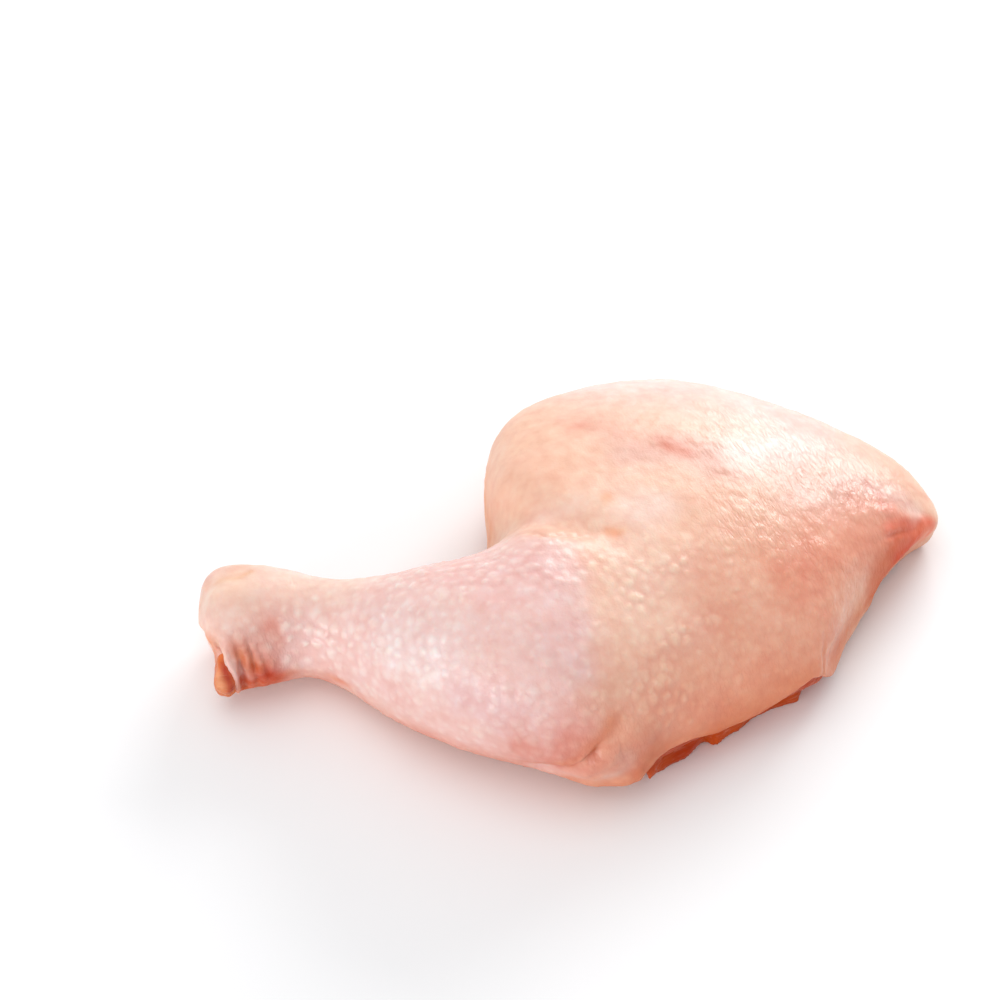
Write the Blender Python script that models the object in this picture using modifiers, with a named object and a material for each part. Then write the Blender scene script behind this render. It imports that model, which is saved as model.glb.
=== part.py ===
"""Raw chicken leg quarter: thigh and drumstick in their skin, lying skin side up.

The leg is lofted from cross-sections that fan round the knee, from the cut ankle to the hip corner
of the thigh. The skin is a layer round the flesh. It is open under the thigh, where the flesh lies
bare and shows below the skin's near edge, and at the ankle, where the shank bone's knuckle shows.
Metres, +Z up. The leg lies on Z = 0, with the origin under the middle of its bounding box.
"""

import math

import bmesh
import bpy
import numpy as np
from mathutils import Vector

MM = 0.001
# In mm: the skin with its fat, and the gap between neighbouring pieces.
SKIN_THICKNESS = 2.2
TISSUE_GAP = 0.35
RING_POINTS = 10
SMOOTH_LEVELS = 3
# What lies lower than this, in mm, is pressed flat by the surface that the leg lies on.
FLAT_SPOT = 0.7
# The surface is worked out on cells of this size, in mm, and then made of fewer triangles.
VOXEL = 1.3
SKIN_FACES = 5600
FLESH_FACES = 2200
BONE_FACES = 560
SPHERE_SIDES = 20
SPHERE_RINGS = 12

# Cross-sections in mm, ankle to hip: front edge x, y, z, back edge x, y, z, crown height, crown place
# from front (0) to back (1), and how boxy the base is (1 is round, less is flatter).
SECTIONS = [
    (-102, -26, 15, -105, 1, 16, 26, 0.50, 1.0),
    (-95, -34, 15, -97, 5, 17, 33, 0.50, 1.0),
    (-84, -30, 15, -85, 5, 17, 31, 0.50, 1.0),
    (-71, -23, 13, -72, 1, 15, 28, 0.50, 1.0),
    (-59, -33, 16, -60, -3, 17, 33, 0.50, 1.0),
    (-46, -46, 20, -47, -3, 21, 41, 0.50, 0.9),
    (-31, -54, 22, -33, -1, 21, 47, 0.48, 0.8),
    (-15, -61, 20, -25, 5, 14, 50, 0.42, 0.7),
    (0, -65, 14, -23, 18, 12, 51, 0.40, 0.6),
    (13, -64, 10, -26, 36, 15, 50, 0.42, 0.5),
    (25, -54, 8, -22, 56, 19, 47, 0.42, 0.5),
    (40, -46, 8, -4, 67, 21, 45, 0.45, 0.5),
    (54, -38, 8, 24, 74, 21, 42, 0.45, 0.5),
    (66, -31, 8, 50, 69, 19, 37, 0.45, 0.5),
    (74, -26, 8, 71, 61, 17, 32, 0.45, 0.5),
    (76, -14, 8, 82, 55, 16, 29, 0.45, 0.5),
    (89, 4, 9, 95, 48, 14, 24, 0.45, 0.5),
    (97, 18, 9, 102, 38, 13, 18, 0.45, 0.5),
    (106, 25, 10, 107, 29, 11, 13, 0.50, 0.8),
]

# Hollows pressed into the upper side: points along each one in plan, with its depth and its reach, in mm.
VALLEY_BEHIND_KNEE = [(-30, 15, 12, 8), (-18, 7, 9, 8), (-7, 2, 5, 7), (2, -2, 3, 6), (10, -5, 1.5, 5)]
HIP_CUT = [(95, 2, 3, 7), (88, -6, 3, 8), (81, -14, 2, 6)]
# Folds and dents in the near side: x, y, z, depth and reach, in mm.
KNEE_FOLD = [(-12, -63, 14, 2, 3), (-3, -65, 19, 3, 3), (4, -64, 25, 2.5, 3), (11, -60, 30, 1, 3)]
ANKLE_FOLD = [(-90, -28, 24, 1.5, 2.5), (-90, -33, 15, 3, 3), (-88, -32, 6, 3, 3)]
ANKLE_DENT = [(-88, -18, 31, 2, 5), (-84, -23, 28, 2, 4.5)]

# The bare patch under the thigh. Its outline is the leg's own, moved in towards its middle, in mm.
FIRST_OPEN_SECTION = 9.3
LAST_OPEN_SECTION = 16.6
WINDOW_STEPS = 44
WINDOW_MIDDLE = Vector((50, 15))
RIM_MARGIN = 5
BACK_MARGIN = 14
BACK_TAPER = 6
BACK_WAVE = 2.2
WAVES_PER_SECTION = 2.6
WINDOW_LEDGE = 4
WINDOW_GAP = 0.5
WINDOW_TOP = 8
WINDOW_BOTTOM = -5
BACK_RIM = 4
OUTSIDE_MARGIN = 5
# Along the near side: x, the height of the skin's edge, and how far in the flesh's foot is, in mm.
NEAR_RIM = [
    (13, 2, 18),
    (20, 3, 8),
    (24, 6.5, 3.5),
    (29, 9.5, 1.5),
    (34, 8.5, 5),
    (38, 8.5, 2),
    (42, 5.5, 5),
    (56, 5.5, 4.5),
    (61, 7.5, 2),
    (66, 5.5, 7),
    (71, 2, 16),
    (97, 2, 16),
]

# The shank bone, ankle to knee: x, y, z and radius, in mm.
BONE_LINE = [
    (-97, -18, 13, 6.0),
    (-94, -18, 13.5, 7.2),
    (-90, -18, 14, 7.0),
    (-82, -16, 15, 4.8),
    (-68, -14, 16, 4.0),
    (-50, -20, 20, 4.2),
    (-34, -24, 24, 5.2),
    (-25, -26, 25, 7.5),
    (-18, -27, 25, 6.0),
]
CONDYLES = [(-95, -22, 11.5), (-97, -13.5, 14.5)]
CONDYLE_RADIUS = 5.6
# The cut ankle: the skin's opening and the tissue that bulges out of it, as centres and radii in mm.
ANKLE_OPENING = ((-104, -25, 14), (8.5, 11, 11.5))
ANKLE_TISSUE = ((-95.5, -26.5, 12.8), (4.4, 6, 8.8))


def clear_scene():
    for obj in list(bpy.data.objects):
        bpy.data.objects.remove(obj)


def in_collection(name, hidden):
    group = bpy.data.collections.new(name)
    bpy.context.scene.collection.children.link(group)
    group.hide_render = hidden
    return group


def ring(section):
    """The points of one cross-section, from the front edge over the crown to the back and under."""
    front_x, front_y, front_z, back_x, back_y, back_z, crown, place, base = section
    outset = 3 / (2 + math.cos(2 * math.pi / RING_POINTS))
    skew = math.log(place) / math.log(0.5)
    points = []
    for k in range(RING_POINTS):
        angle = 2 * math.pi * k / RING_POINTS
        across = 0.5 - 0.5 * math.cos(angle) * outset
        lift = abs(math.sin(angle))
        on_top = k <= RING_POINTS / 2
        if on_top and 0 < across < 1:
            across = across**skew
        edge = front_z + (back_z - front_z) * across
        if on_top:
            height = edge + (crown - edge) * lift * outset
        else:
            height = edge - edge * outset * lift**base
        x = front_x + (back_x - front_x) * across
        y = front_y + (back_y - front_y) * across
        points.append(Vector((x, y, height)))
    return points


def body_object(name, points, faces, group):
    """A mesh object of points in mm, with its faces turned outwards."""
    mesh = bpy.data.meshes.new(name)
    mesh.from_pydata([p * MM for p in points], [], faces)
    shape = bmesh.new()
    shape.from_mesh(mesh)
    bmesh.ops.recalc_face_normals(shape, faces=shape.faces)
    shape.to_mesh(mesh)
    shape.free()
    obj = bpy.data.objects.new(name, mesh)
    group.objects.link(obj)
    return obj


def with_modifiers_applied(obj):
    """Replaces the object's mesh by the one its modifiers make."""
    graph = bpy.context.evaluated_depsgraph_get()
    obj.data = bpy.data.meshes.new_from_object(obj.evaluated_get(graph))
    obj.modifiers.clear()
    return obj


def thinned(obj, most_faces):
    """An even surface with no folds crossing, then fewer triangles, larger where the form is flat."""
    even = obj.modifiers.new("even", "REMESH")
    even.mode = "VOXEL"
    even.voxel_size = VOXEL * MM
    with_modifiers_applied(obj)
    triangles = sum(len(p.vertices) - 2 for p in obj.data.polygons)
    collapse = obj.modifiers.new("thin", "DECIMATE")
    collapse.ratio = most_faces / triangles
    return with_modifiers_applied(obj)


def swollen(obj, name, distance, group):
    """A copy whose surface is moved out by a distance in mm, or in where it is negative."""
    copy = bpy.data.objects.new(name, obj.data.copy())
    group.objects.link(copy)
    shape = bmesh.new()
    shape.from_mesh(copy.data)
    for vert in shape.verts:
        vert.co += vert.normal * distance * vert.calc_shell_factor() * MM
    shape.to_mesh(copy.data)
    shape.free()
    return copy


def depth_near(line, point):
    """How deep a hollow along a line of points is at a point. Each holds its place, depth and reach."""
    size = len(line[0]) - 2
    place = Vector(point[:size])
    deepest = 0
    for near, far in zip(line, line[1:]):
        start = Vector(near[:size])
        along = Vector(far[:size]) - start
        share = min(max((place - start).dot(along) / along.length_squared, 0), 1)
        depth = near[-2] + (far[-2] - near[-2]) * share
        reach = near[-1] + (far[-1] - near[-1]) * share
        distance = (start + along * share - place).length
        deepest = max(deepest, depth * math.exp(-((distance / reach) ** 2)))
    return deepest


def pressed(point, normal):
    """A point of the leg's smooth surface, in mm, moved by the valleys, folds and dents near it."""
    on_top = min(max(normal.z * 2 + 0.6, 0), 1)
    point = point - Vector((0, 0, on_top * depth_near(VALLEY_BEHIND_KNEE, point)))
    cut = depth_near(HIP_CUT, point)
    point = point - Vector((normal.x, normal.y, 0)) * cut
    for line in (KNEE_FOLD, ANKLE_FOLD, ANKLE_DENT):
        point = point - normal * depth_near(line, point)
    if point.z < FLAT_SPOT:
        point.z = 0
    return point


def leg_body(name, sections, group):
    """The outer form through some of the cross-sections, as one closed body."""
    points = [p for section in sections for p in ring(section)]
    faces = []
    for start in range(0, len(points) - RING_POINTS, RING_POINTS):
        for k in range(RING_POINTS):
            n = (k + 1) % RING_POINTS
            faces.append((start + k, start + n, start + RING_POINTS + n, start + RING_POINTS + k))
    faces.append(tuple(reversed(range(RING_POINTS))))
    faces.append(tuple(range(len(points) - RING_POINTS, len(points))))
    body = body_object(name, points, faces, group)
    smooth = body.modifiers.new("rounding", "SUBSURF")
    smooth.levels = SMOOTH_LEVELS
    smooth.render_levels = SMOOTH_LEVELS
    with_modifiers_applied(body)
    shape = bmesh.new()
    shape.from_mesh(body.data)
    moved = [pressed(v.co / MM, v.normal) for v in shape.verts]
    for vert, place in zip(shape.verts, moved):
        vert.co = place * MM
    shape.to_mesh(body.data)
    shape.free()
    return body


def between_sections(place):
    """The front and back edge of the leg in plan, at a place counted in cross-sections."""
    before = min(int(place), len(SECTIONS) - 2)
    share = place - before
    here, there = SECTIONS[before], SECTIONS[before + 1]
    mixed = [a + (b - a) * share for a, b in zip(here, there)]
    return Vector(mixed[0:2]), Vector(mixed[3:5])


def near_rim(x):
    """The height of the skin's near edge at x, and how far in the flesh's foot is there, in mm."""
    places, heights, margins = zip(*NEAR_RIM)
    return float(np.interp(x, places, heights)), float(np.interp(x, places, margins))


def moved_in(edge, distance):
    """A point of the leg's edge in plan, moved towards the middle of the bare patch."""
    return edge + (WINDOW_MIDDLE - edge).normalized() * distance


def window_edges():
    """The leg's near and far edge in plan, along the bare patch."""
    span = LAST_OPEN_SECTION - FIRST_OPEN_SECTION
    places = [FIRST_OPEN_SECTION + span * step / WINDOW_STEPS for step in range(WINDOW_STEPS + 1)]
    return [(place, *between_sections(place)) for place in places]


def window_outline(near_margin, inset, back_taper=0):
    """The bare patch's outline in plan, moved in all round. Its near side comes first."""
    near = []
    back = []
    for place, near_edge, back_edge in window_edges():
        wave = BACK_WAVE * math.sin(place * WAVES_PER_SECTION)
        near.append(moved_in(near_edge, near_margin(near_edge.x) + inset))
        back.append(moved_in(back_edge, BACK_MARGIN + back_taper + wave + inset))
    return near + back[::-1]


def rim_heights():
    """The height of the skin's edge at each point of the bare patch's outline, in mm."""
    edges = window_edges()
    return [near_rim(near_edge.x)[0] for place, near_edge, back_edge in edges] + [BACK_RIM] * len(edges)


def stacked(name, levels, group):
    """A closed solid through outlines of as many points, from the lowest to the highest."""
    count = len(levels[0])
    points = [p for level in levels for p in level]
    faces = [tuple(reversed(range(count))), tuple(range(len(points) - count, len(points)))]
    for start in range(0, len(points) - count, count):
        for k in range(count):
            n = (k + 1) % count
            faces.append((start + k, start + n, start + count + n, start + count + k))
    return body_object(name, points, faces, group)


def skin_window(group):
    """What the skin leaves open under the thigh: all below its rim, and a patch up to the flesh."""
    outer = window_outline(lambda x: -OUTSIDE_MARGIN, 0)
    inner = window_outline(lambda x: RIM_MARGIN, WINDOW_LEDGE)
    rims = rim_heights()
    low = [Vector((p.x, p.y, WINDOW_BOTTOM)) for p in outer]
    rim = [Vector((p.x, p.y, height)) for p, height in zip(outer, rims)]
    step = [Vector((p.x, p.y, height)) for p, height in zip(inner, rims)]
    top = [Vector((p.x, p.y, WINDOW_TOP)) for p in inner]
    return stacked("window", [low, rim, step, top], group)


def flesh_sole(group):
    """The bare flesh under the thigh, from the surface it lies on up to the rim and the flesh above."""
    lower = window_outline(lambda x: near_rim(x)[1], WINDOW_GAP, BACK_TAPER)
    upper = window_outline(lambda x: max(near_rim(x)[1], RIM_MARGIN), WINDOW_GAP)
    inner = window_outline(lambda x: RIM_MARGIN, WINDOW_LEDGE + WINDOW_GAP)
    rims = [height - TISSUE_GAP for height in rim_heights()]
    low = [Vector((p.x, p.y, 0)) for p in lower]
    rim = [Vector((p.x, p.y, height)) for p, height in zip(upper, rims)]
    step = [Vector((p.x, p.y, height)) for p, height in zip(inner, rims)]
    top = [Vector((p.x, p.y, WINDOW_TOP - TISSUE_GAP)) for p in inner]
    return stacked("sole", [low, rim, step, top], group)


def ellipsoid(name, centre_and_radii, swell, group):
    """A closed ellipsoid, made larger all round by a distance in mm."""
    centre, radii = centre_and_radii
    shape = bmesh.new()
    bmesh.ops.create_uvsphere(shape, u_segments=SPHERE_SIDES, v_segments=SPHERE_RINGS, radius=1)
    for vert in shape.verts:
        place = [c + v * (r + swell) for c, v, r in zip(centre, vert.co, radii)]
        vert.co = Vector(place) * MM
    mesh = bpy.data.meshes.new(name)
    shape.to_mesh(mesh)
    shape.free()
    obj = bpy.data.objects.new(name, mesh)
    group.objects.link(obj)
    return obj


def combined(obj, operation, others):
    """Cuts the others from the object, or joins them to it, and removes them."""
    for other in others:
        change = obj.modifiers.new("combine", "BOOLEAN")
        change.operation = operation
        change.object = other
        with_modifiers_applied(obj)
        bpy.data.objects.remove(other)
    return obj


def shank_bone(group):
    """A bone with a thin shaft, a thick knee end, and two round condyles at the ankle."""
    line = bpy.data.curves.new("shank line", "CURVE")
    line.dimensions = "3D"
    line.bevel_depth = MM
    line.bevel_resolution = 3
    line.use_fill_caps = True
    spline = line.splines.new("POLY")
    spline.points.add(len(BONE_LINE) - 1)
    for point, (x, y, z, radius) in zip(spline.points, BONE_LINE):
        point.co = (x * MM, y * MM, z * MM, 1)
        point.radius = radius
    shaft = bpy.data.objects.new("shank line", line)
    group.objects.link(shaft)
    graph = bpy.context.evaluated_depsgraph_get()
    mesh = bpy.data.meshes.new_from_object(shaft.evaluated_get(graph))
    bpy.data.objects.remove(shaft)
    shape = bmesh.new()
    shape.from_mesh(mesh)
    bmesh.ops.remove_doubles(shape, verts=shape.verts, dist=MM / 100)
    shape.to_mesh(mesh)
    shape.free()
    bone = bpy.data.objects.new("shank_bone", mesh)
    group.objects.link(bone)
    ball = (CONDYLE_RADIUS,) * 3
    condyles = [ellipsoid("condyle", (place, ball), 0, group) for place in CONDYLES]
    return combined(bone, "UNION", condyles)


def material(name, colour, roughness):
    made = bpy.data.materials.new(name)
    made.use_nodes = True
    shader = made.node_tree.nodes["Principled BSDF"]
    shader.inputs["Base Color"].default_value = (*colour, 1)
    shader.inputs["Roughness"].default_value = roughness
    shader.inputs["Metallic"].default_value = 0
    return made


def stand_at_origin(objects):
    """Moves the meshes so that the middle of their box is over the origin, on Z = 0."""
    corners = [v.co for obj in objects for v in obj.data.vertices]
    low = Vector(min(c[i] for c in corners) for i in range(3))
    high = Vector(max(c[i] for c in corners) for i in range(3))
    middle = (low + high) / 2
    for obj in objects:
        for vert in obj.data.vertices:
            vert.co -= Vector((middle.x, middle.y, low.z))
    return middle


clear_scene()
leg = in_collection("raw chicken leg quarter", False)
cutters = in_collection("cutters", True)

skin = thinned(leg_body("skin", SECTIONS, leg), SKIN_FACES)
blunt_leg = leg_body("leg without its corner", SECTIONS[:-1], cutters)
flesh = thinned(swollen(blunt_leg, "flesh", -SKIN_THICKNESS - TISSUE_GAP, leg), FLESH_FACES)
bpy.data.objects.remove(blunt_leg)
bone = thinned(shank_bone(leg), BONE_FACES)

skin_cutters = [
    swollen(flesh, "flesh room", TISSUE_GAP, cutters),
    skin_window(cutters),
    ellipsoid("ankle opening", ANKLE_OPENING, 0, cutters),
    ellipsoid("tissue room", ANKLE_TISSUE, TISSUE_GAP, cutters),
    swollen(bone, "bone room", TISSUE_GAP, cutters),
]
combined(skin, "DIFFERENCE", skin_cutters)
flesh_parts = [
    flesh_sole(cutters),
    ellipsoid("ankle tissue", ANKLE_TISSUE, 0, cutters),
]
combined(flesh, "UNION", flesh_parts)
combined(flesh, "DIFFERENCE", [swollen(bone, "bone bore", TISSUE_GAP, cutters)])

for piece, colour, roughness in (
    (skin, (0.84, 0.52, 0.40), 0.4),
    (flesh, (0.55, 0.13, 0.06), 0.35),
    (bone, (0.80, 0.70, 0.60), 0.45),
):
    piece.data.materials.clear()
    piece.data.materials.append(material(piece.name, colour, roughness))
    piece.data.shade_smooth()
middle = stand_at_origin([skin, flesh, bone])
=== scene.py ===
import math
import random

import bpy
import numpy as np
from mathutils import Matrix, Vector, kdtree, noise
from mathutils.bvhtree import BVHTree


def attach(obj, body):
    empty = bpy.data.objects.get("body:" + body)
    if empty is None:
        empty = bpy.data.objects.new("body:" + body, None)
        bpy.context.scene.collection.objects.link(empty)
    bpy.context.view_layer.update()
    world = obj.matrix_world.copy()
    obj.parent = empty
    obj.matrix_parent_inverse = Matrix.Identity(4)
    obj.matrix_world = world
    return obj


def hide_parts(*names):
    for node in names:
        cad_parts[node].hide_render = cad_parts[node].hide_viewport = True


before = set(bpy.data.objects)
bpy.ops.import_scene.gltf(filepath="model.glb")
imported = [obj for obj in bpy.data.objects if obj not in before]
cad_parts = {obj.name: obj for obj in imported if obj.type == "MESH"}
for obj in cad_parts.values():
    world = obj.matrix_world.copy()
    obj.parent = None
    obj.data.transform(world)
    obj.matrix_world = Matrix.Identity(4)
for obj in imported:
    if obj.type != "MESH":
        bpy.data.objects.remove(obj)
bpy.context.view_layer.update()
bpy.ops.object.select_all(action="DESELECT")
MM = 0.001

# ---- View and light
# The leg lies on a white table and is seen from its near side, half from above. One large soft light
# stands behind it to the right, one hangs over it, and a small one stands at its left.
CAMERA_AIM = Vector((-0.0214, 0.0296, 0.015))
CAMERA_HEIGHT_ANGLE = 50
CAMERA_DISTANCE = 0.873
up_angle = math.radians(CAMERA_HEIGHT_ANGLE)
toward_camera = Vector((0, -math.cos(up_angle), math.sin(up_angle)))
bpy.ops.object.camera_add(location=CAMERA_AIM + toward_camera * CAMERA_DISTANCE)
camera = bpy.context.object
camera.rotation_euler = (math.radians(90) - up_angle, 0, 0)
camera.data.lens = 110
camera.data.sensor_width = 36
camera.data.clip_start = 0.05
bpy.context.scene.camera = camera
bpy.context.scene.view_settings.view_transform = "Standard"

bpy.ops.mesh.primitive_plane_add(size=6)
table = bpy.context.object
table.name = "table_top"
white = bpy.data.materials.new("white table")
white.use_nodes = True
white_shader = white.node_tree.nodes["Principled BSDF"]
white_shader.inputs["Base Color"].default_value = (0.95, 0.95, 0.95, 1)
white_shader.inputs["Roughness"].default_value = 0.6
table.data.materials.append(white)

# Each light: where it stands in metres, its size across and up in metres, and its power in watts.
LIGHTS = {
    "back window": ((0.48, 1.05, 0.53), 0.8, 0.45, 9.5),
    "overhead panel": ((-0.3, 0.0, 1.5), 1.2, 1.2, 5),
    "left panel": ((-1.0, -1.0, 0.42), 0.5, 0.5, 6.5),
}
LIT_PLACE = Vector((0, 0, 0.02))
for name, (place, width, height, power) in LIGHTS.items():
    bpy.ops.object.light_add(type="AREA", location=place)
    panel = bpy.context.object
    panel.name = name
    panel.data.shape = "RECTANGLE"
    panel.data.size = width
    panel.data.size_y = height
    panel.data.energy = power
    panel.rotation_euler = (LIT_PLACE - Vector(place)).to_track_quat("-Z", "Y").to_euler()
    # The overhead panel lights the skin, but makes no highlight in it.
    panel.visible_glossy = name != "overhead panel"

room = bpy.data.worlds.new("white room")
bpy.context.scene.world = room
room.use_nodes = True
room_light = room.node_tree.nodes["Background"]
room_light.inputs["Color"].default_value = (0.97, 0.98, 1, 1)
room_light.inputs["Strength"].default_value = 0.68

# ---- Skin
# Moist raw skin with its fat, drawn round the whole leg and open under the thigh and at the ankle.
# It is taken from the skin's solid: the inner wall goes, the openings are closed off behind the flesh,
# and the surface is made even and fine, then gets its folds, wrinkles and goose bumps.
SKIN_CELL = 0.75 * MM
JOIN_REACH = 0.01 * MM


def merged_copy(solid, name):
    """A piece of its own with the shape of one of the solids, its triangles joined."""
    piece = bpy.data.objects.new(name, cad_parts[solid].data.copy())
    bpy.context.scene.collection.objects.link(piece)
    piece.data.materials.clear()
    bpy.ops.object.select_all(action="DESELECT")
    piece.select_set(True)
    bpy.context.view_layer.objects.active = piece
    bpy.ops.object.mode_set(mode="EDIT")
    bpy.ops.mesh.select_all(action="SELECT")
    bpy.ops.mesh.remove_doubles(threshold=JOIN_REACH)
    bpy.ops.mesh.select_all(action="DESELECT")
    bpy.ops.object.mode_set(mode="OBJECT")
    return piece


def with_modifier(piece, kind, **settings):
    """Adds a modifier with these settings and applies it."""
    bpy.context.view_layer.objects.active = piece
    change = piece.modifiers.new(kind.lower(), kind)
    for setting, value in settings.items():
        setattr(change, setting, value)
    bpy.ops.object.modifier_apply(modifier=change.name)


def made_even(piece, cell, rounds):
    """An even, fine surface: cells of one size, then smoothed a number of times."""
    with_modifier(piece, "REMESH", mode="VOXEL", voxel_size=cell)
    with_modifier(piece, "SMOOTH", factor=0.5, iterations=rounds)
    piece.data.shade_smooth()


def places(piece):
    """The piece's points in mm and their normals, as rows of numbers."""
    count = len(piece.data.vertices)
    points = np.empty(count * 3)
    normals = np.empty(count * 3)
    piece.data.vertices.foreach_get("co", points)
    piece.data.vertices.foreach_get("normal", normals)
    return points.reshape(-1, 3) / MM, normals.reshape(-1, 3)


def moved(piece, points):
    """Puts the piece's points at these places in mm."""
    piece.data.vertices.foreach_set("co", (points * MM).ravel())
    piece.data.update()


def select_faces(piece, wanted):
    """Selects the piece's faces that are wanted, and nothing else, for the edit tools."""
    bpy.context.view_layer.objects.active = piece
    bpy.ops.object.mode_set(mode="EDIT")
    bpy.ops.mesh.select_mode(type="FACE")
    bpy.ops.mesh.select_all(action="DESELECT")
    bpy.ops.object.mode_set(mode="OBJECT")
    for face, chosen in zip(piece.data.polygons, wanted):
        face.select = bool(chosen)
    bpy.ops.object.mode_set(mode="EDIT")


def surface_of(solid):
    """A solid's surface, for finding how near it a place is."""
    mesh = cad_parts[solid].data
    return BVHTree.FromPolygons([v.co for v in mesh.vertices], [p.vertices for p in mesh.polygons])


skin = merged_copy("skin", "raw_skin")
flesh_surface = surface_of("flesh")
under_skin = (flesh_surface, surface_of("shank_bone"))
# The inner wall lies this near to the flesh or the bone. It goes, and what it leaves open is filled.
WALL_REACH = 0.65 * MM
wall_corners = set()
for face in skin.data.polygons:
    if any(tree.find_nearest(face.center, WALL_REACH)[0] is not None for tree in under_skin):
        wall_corners.update(face.vertices)
select_faces(skin, [all(corner in wall_corners for corner in face.vertices) for face in skin.data.polygons])
bpy.ops.mesh.delete(type="FACE")
bpy.ops.mesh.select_mode(type="EDGE")
bpy.ops.mesh.select_non_manifold()
bpy.ops.mesh.fill_holes(sides=0)
bpy.ops.mesh.select_all(action="SELECT")
bpy.ops.mesh.normals_make_consistent(inside=False)
bpy.ops.object.mode_set(mode="OBJECT")
made_even(skin, SKIN_CELL, rounds=10)

# The faces that lie this deep inside the flesh, or this near to the table, are made few and wide.
BURIED = -0.4 * MM
ON_TABLE = 1.2 * MM
unseen = []
for face in skin.data.polygons:
    place, normal = flesh_surface.find_nearest(face.center)[:2]
    unseen.append((face.center - place).dot(normal) < BURIED or face.center.z < ON_TABLE)
select_faces(skin, unseen)
bpy.ops.mesh.decimate(ratio=0.12)
bpy.ops.object.mode_set(mode="OBJECT")


def nearest_on(line, points):
    """Each point's distance from a line of places, its height above it, and the line's own numbers there."""
    distance = np.full(len(points), np.inf)
    above = np.zeros(len(points))
    values = np.zeros((len(points), len(line[0]) - 3))
    for near, far in zip(line, line[1:]):
        start = np.array(near[:3], float)
        along = np.array(far[:3], float) - start
        share = np.clip((points - start) @ along / (along @ along), 0, 1)[:, None]
        away = points - start - share * along
        reached = np.linalg.norm(away, axis=1)
        closer = reached < distance
        distance[closer] = reached[closer]
        above[closer] = away[closer, 2]
        values[closer] = (np.array(near[3:]) * (1 - share) + np.array(far[3:]) * share)[closer]
    return distance, above, values.T


# The creases pressed into the skin, in mm: x, y and z, depth, half width, and the bulge of the skin above.
CREASES = {
    "behind the knee": [
        (-9, -62.5, 15, 0.1, 1.0, 0.3), (-4, -64, 18.4, 0.6, 0.9, 0.9), (0.4, -64.6, 21.6, 0.8, 0.9, 1.0),
        (3.2, -65, 24.4, 0.6, 0.9, 0.8), (5, -64.6, 27, 0.1, 0.9, 0.2)],
    "under the knee": [
        (2, -67, 15, 0.1, 1.1, 0), (5, -66.5, 18, 0.35, 1.0, 0.3), (8, -65.5, 21, 0.3, 1.0, 0.3),
        (11, -64, 24, 0.1, 1.1, 0)],
    "bare tissue": [
        (-99.6, -30, 25.5, 2.4, 1.6, 0), (-98.6, -32, 22, 3.6, 2.4, 0), (-97.5, -33.5, 16, 3.6, 2.4, 0)],
    "left of the tongue": [
        (-97.5, -31, 25, 0.3, 0.6, 0), (-95.6, -33.6, 20, 0.8, 0.6, 0), (-94.5, -34, 14, 0.8, 0.7, 0)],
    "right of the tongue": [
        (-94, -28.5, 27.5, 0.2, 0.8, 0.1), (-92.6, -31, 24, 0.7, 0.8, 0.2), (-91.8, -33, 19, 1.3, 0.8, 0.3),
        (-91.5, -33.4, 13, 1.5, 0.9, 0.2), (-91.5, -32, 7, 1.2, 1, 0)],
    "ankle fold": [
        (-89.8, -29.6, 26, 0.3, 0.7, 0), (-88.6, -31.7, 22.3, 0.8, 0.7, 0.3),
        (-88.0, -33, 18.5, 1.2, 0.8, 0.3), (-87.6, -33, 13, 1.0, 0.9, 0.2), (-87.5, -31.8, 7, 0.6, 1, 0)],
    "second ankle fold": [
        (-86.8, -29.5, 24, 0.2, 0.7, 0), (-85.6, -31.5, 20.5, 0.7, 0.7, 0.2),
        (-84.8, -32.2, 16, 0.8, 0.8, 0.2)],
    "spur": [
        (73, -21, 21, 0.2, 0.7, 0), (71.4, -26, 17.5, 0.7, 0.7, 0.2), (70, -29.5, 13, 0.9, 0.7, 0.2)],
    "beside the spur": [
        (67, -25, 24, 0.2, 0.7, 0), (66.8, -29, 19, 0.5, 0.7, 0.2), (66.6, -31, 14, 0.6, 0.7, 0.2)],
    "below the hip": [
        (80, 1, 27, 0.1, 0.9, 0), (86, 8, 24, 0.5, 0.9, 0.2), (91, 13.5, 20, 0.8, 0.9, 0.3),
        (96, 17.5, 16, 0.4, 0.9, 0)],
    "top of the drumstick": [
        (-26, 1, 34, 0.4, 1.6, 0.2), (-18, -5, 42, 0.6, 1.5, 0.3), (-9, -9.6, 47, 0.7, 1.4, 0.3),
        (0, -8.6, 46.4, 0.5, 1.4, 0.2), (7, -6.5, 45, 0.1, 1.5, 0)],
}
# The ridges raised in it, in mm: x, y and z, height and half width.
RIDGES = {
    "tongue": [
        (-99, -28.5, 26, 0.2, 0.9), (-96.2, -32, 23.6, 0.7, 1.0), (-94, -34, 19, 1.0, 1.0),
        (-93.2, -33.8, 13, 1.0, 1.0), (-93.2, -32, 7, 0.7, 1.0)],
    "by the ankle fold": [
        (-91, -29.5, 26.5, 0.3, 0.8), (-90, -31.5, 23.3, 0.6, 0.8), (-89.6, -32.9, 19, 0.5, 0.8)],
    "hip": [(78, 12, 31, 0.2, 2.2), (88, 17, 24.5, 0.6, 2.0), (98, 20, 17, 0.5, 1.6)],
}
# The faces within this reach of a crease or a ridge are split in four, so that it comes out sharp.
SPLIT_REACH = 2.6
points = places(skin)[0]
near_crease = np.zeros(len(points), bool)
for line in [*CREASES.values(), *RIDGES.values()]:
    near_crease |= nearest_on(line, points)[0] < SPLIT_REACH
select_faces(skin, [all(near_crease[corner] for corner in face.vertices) for face in skin.data.polygons])
bpy.ops.mesh.subdivide(number_cuts=1, smoothness=0.5)
bpy.ops.object.mode_set(mode="OBJECT")


def ramp(values, start, end):
    """Rises evenly from 0 where the values are at the start to 1 where they are at the end, up or down."""
    return np.clip((values - start) / (end - start), 0, 1)


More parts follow.
